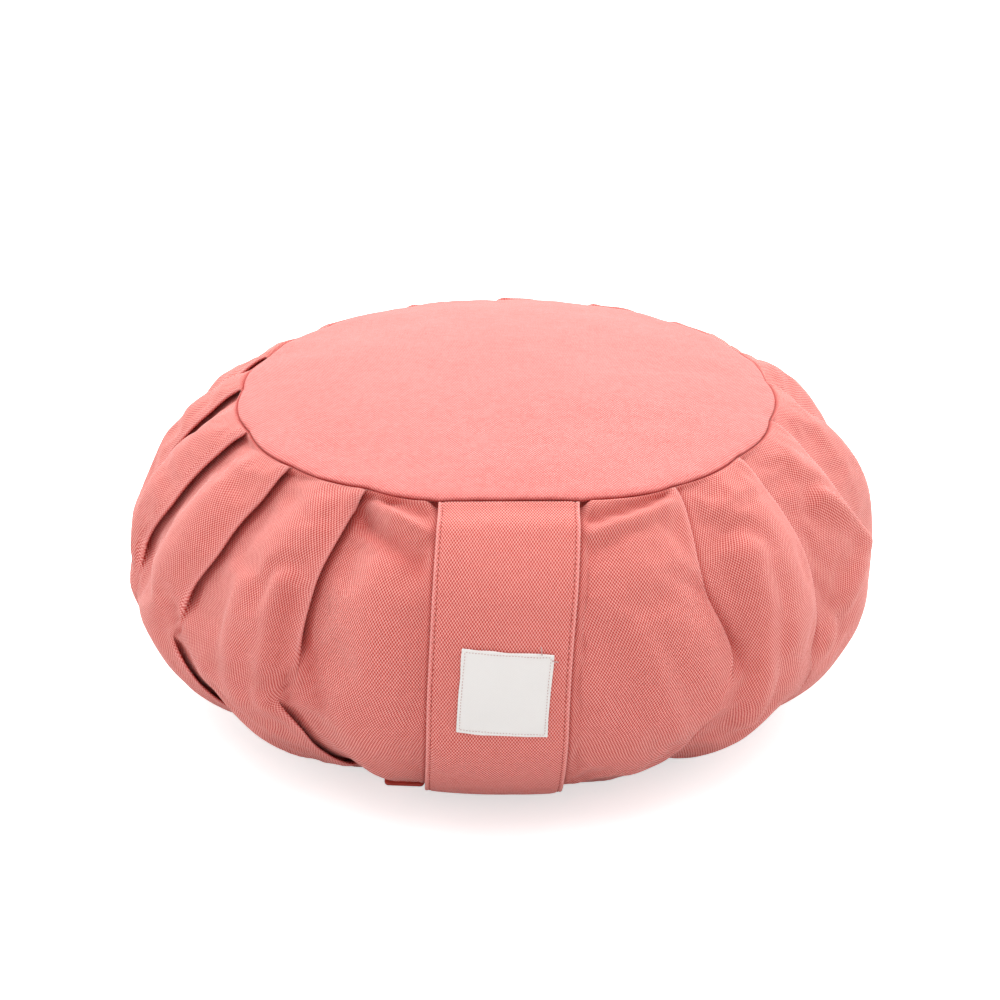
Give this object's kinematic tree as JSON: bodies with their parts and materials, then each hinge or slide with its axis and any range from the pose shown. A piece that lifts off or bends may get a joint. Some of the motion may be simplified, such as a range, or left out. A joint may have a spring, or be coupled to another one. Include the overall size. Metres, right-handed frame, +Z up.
{
  "type": "zafu meditation cushion",
  "caption": "Round filled floor cushion with a knife-pleated side between two round panels, a flat carrying strap with a small bare label, and a closure tab at its foot",
  "frame": {"origin": "middle of the flat bottom panel, on the surface the cushion stands on", "axes": "+Z up through the middle of the cushion, -Y towards the carrying strap, +X to the right of someone who faces the strap"},
  "size_m": [0.3634, 0.3657, 0.157],
  "materials": {
    "side_canvas": "matt cotton canvas",
    "top_canvas": "matt cotton canvas",
    "bottom_canvas": "matt cotton canvas",
    "strap_canvas": "matt cotton canvas",
    "label_weave": "pale satin weave",
    "coated_tab": "enamelled"
  },
  "bodies": {
    "root": {"filled_body": "side_canvas", "top_panel": "top_canvas", "bottom_panel": "bottom_canvas", "carry_strap": "strap_canvas", "label": "label_weave", "zip_pull": "coated_tab"}
  },
  "joints": []
}
